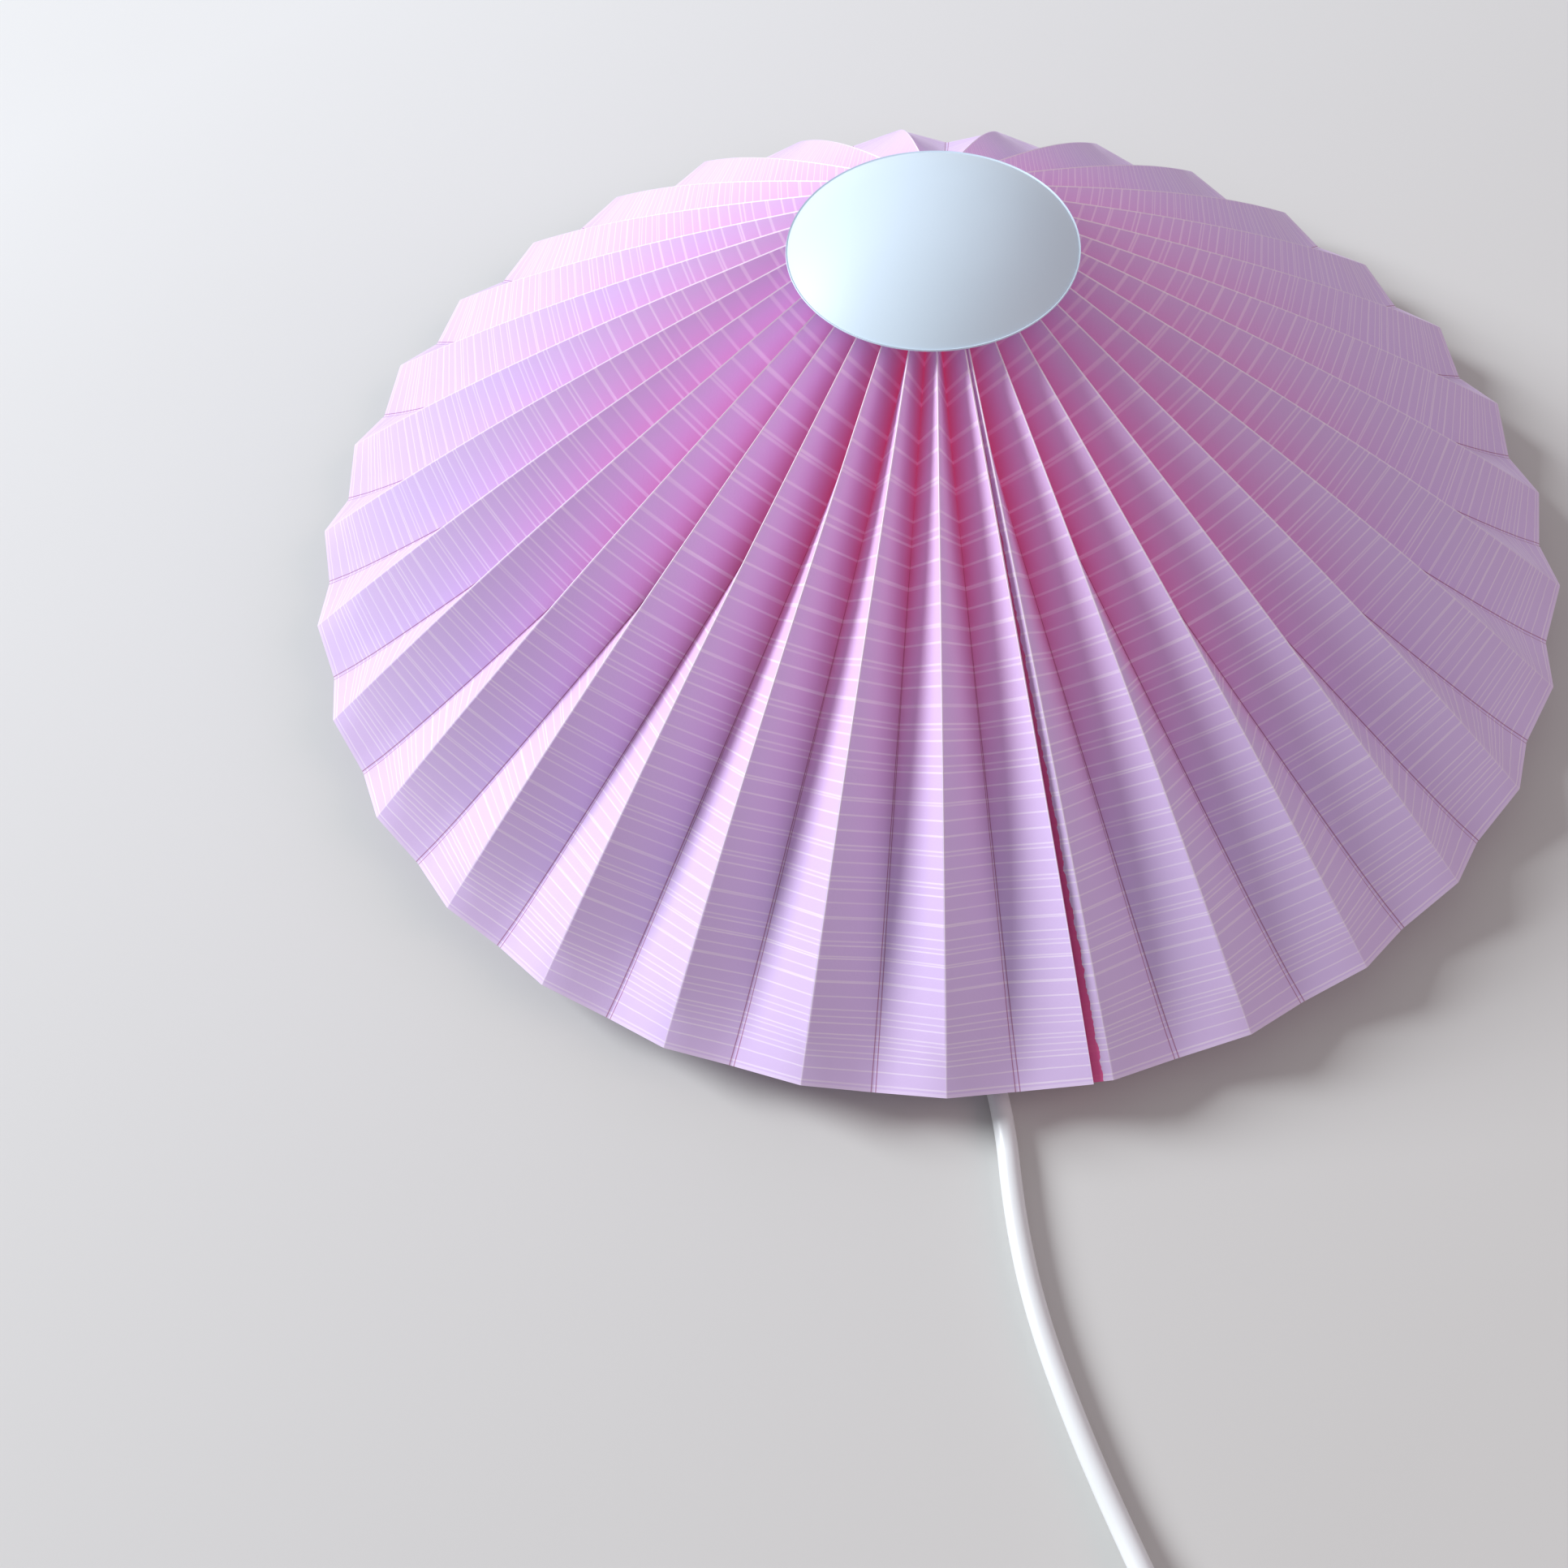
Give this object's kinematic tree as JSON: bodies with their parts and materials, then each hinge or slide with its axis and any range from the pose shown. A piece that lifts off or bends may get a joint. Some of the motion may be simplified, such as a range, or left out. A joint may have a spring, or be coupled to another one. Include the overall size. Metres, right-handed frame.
{
  "type": "wall lamp",
  "caption": "Wall lamp: a shallow cone of pleated paper round a white domed cap, on a round back plate, with a mains lead, in-line switch and plug.",
  "frame": {"origin": "middle of the back plate's rear face, on the wall or table that it rests against", "axes": "+Z away from the wall along the lamp's axis; -Y towards the side where the mains lead leaves; +X to the right seen from that side"},
  "size_m": [0.399, 0.6895, 0.1385],
  "materials": {
    "lilac_paper": "lilac pleated paper with fine off-white printed lines",
    "cap_white": "satin white",
    "white_plastic": "satin white moulding",
    "white_gloss": "glossy white moulding",
    "white_steel": "white powder coat",
    "zinc_steel": "zinc plated",
    "holder_plastic": "white heat-resistant thermoplastic",
    "ceramic_white": "white steatite",
    "brass": "plain brass",
    "nickel": "nickel plated",
    "clear_plastic": "natural polyamide",
    "core_insulation": "brown and blue insulation",
    "cord_pvc": "smooth soft white PVC",
    "fibre": "vulcanised fibre",
    "opal_glass": "opal",
    "black_glass": "black insulating glass",
    "tape": "double-sided adhesive tape",
    "thread": "cotton thread",
    "tie_fabric": "hook-and-loop strap",
    "black_plastic": "black insulating sleeve"
  },
  "bodies": {
    "fixture": {"wall_plate": "white_steel", "cover": "white_plastic", "cover_standoffs": "zinc_steel", "cover_screws": "zinc_steel", "holder_bracket": "zinc_steel", "holder_nipple": "zinc_steel", "nipple_nut": "zinc_steel", "holder_body": "holder_plastic", "holder_insert": "ceramic_white", "holder_shell": "brass", "holder_contact": "brass", "holder_terminals": "brass", "clamp_base": "white_plastic", "clamp_saddle": "white_plastic", "clamp_screws": "zinc_steel", "terminal_block": "clear_plastic", "terminal_screws": "brass", "core_wires": "core_insulation", "cord_gland": "cord_pvc", "shade_gallery": "white_plastic", "carrier_ring": "white_steel", "carrier_arms": "white_steel", "cord_from_lamp": "cord_pvc", "switch_bottom": "white_gloss", "switch_top": "white_gloss", "switch_screws": "zinc_steel", "switch_contacts": "brass", "cord_to_coil": "cord_pvc", "cord_coil": "cord_pvc", "coil_tie": "tie_fabric", "cord_to_plug": "cord_pvc", "plug_body": "white_gloss", "plug_pins": "nickel", "pin_sleeves": "black_plastic"},
    "shade": {"pleated_shade": "lilac_paper", "seam_tape": "tape", "gathering_thread": "thread"},
    "cap": {"end_cap": "cap_white"},
    "washer": {"nut_washer": "fibre"},
    "nut": {"shade_nut": "holder_plastic"},
    "bulb_contact": {"bulb_tip": "nickel"},
    "bulb": {"bulb_globe": "opal_glass", "bulb_screw_cap": "nickel", "bulb_insulator": "black_glass"},
    "rocker": {"switch_rocker": "white_gloss"}
  },
  "joints": [
    {"name": "shade_lift", "type": "slide", "parent": "fixture", "child": "shade", "axis": [0, 0, 1], "range_m": [0, 0.12]},
    {"name": "cap_pull", "type": "slide", "parent": "shade", "child": "cap", "axis": [0, 0, 1], "range_m": [0, 0.06]},
    {"name": "nut_rise", "type": "slide", "parent": "fixture", "child": "washer", "axis": [0, 0, 1], "range_m": [0, 0.0061]},
    {"name": "nut_turn", "type": "hinge", "parent": "washer", "child": "nut", "pos_m": [0, 0, 0.0394], "axis": [0, 0, 1], "range_deg": [0, 1080]},
    {"name": "bulb_rise", "type": "slide", "parent": "fixture", "child": "bulb_contact", "axis": [0, 0, 1], "range_m": [0, 0.0114]},
    {"name": "bulb_turn", "type": "hinge", "parent": "bulb_contact", "child": "bulb", "pos_m": [0, 0, 0.0725], "axis": [0, 0, 1], "range_deg": [0, 1440]},
    {"name": "switch_rock", "type": "hinge", "parent": "fixture", "child": "rocker", "pos_m": [0.08395, -0.35568, 0.0119], "axis": [0.893, 0.45, 0], "range_deg": [0, 14]}
  ],
  "couplings": [
    {"joint": "nut_rise", "follows": "nut_turn", "m_per_rad": 0.00031831},
    {"joint": "bulb_rise", "follows": "bulb_turn", "m_per_rad": 0.00044882}
  ]
}
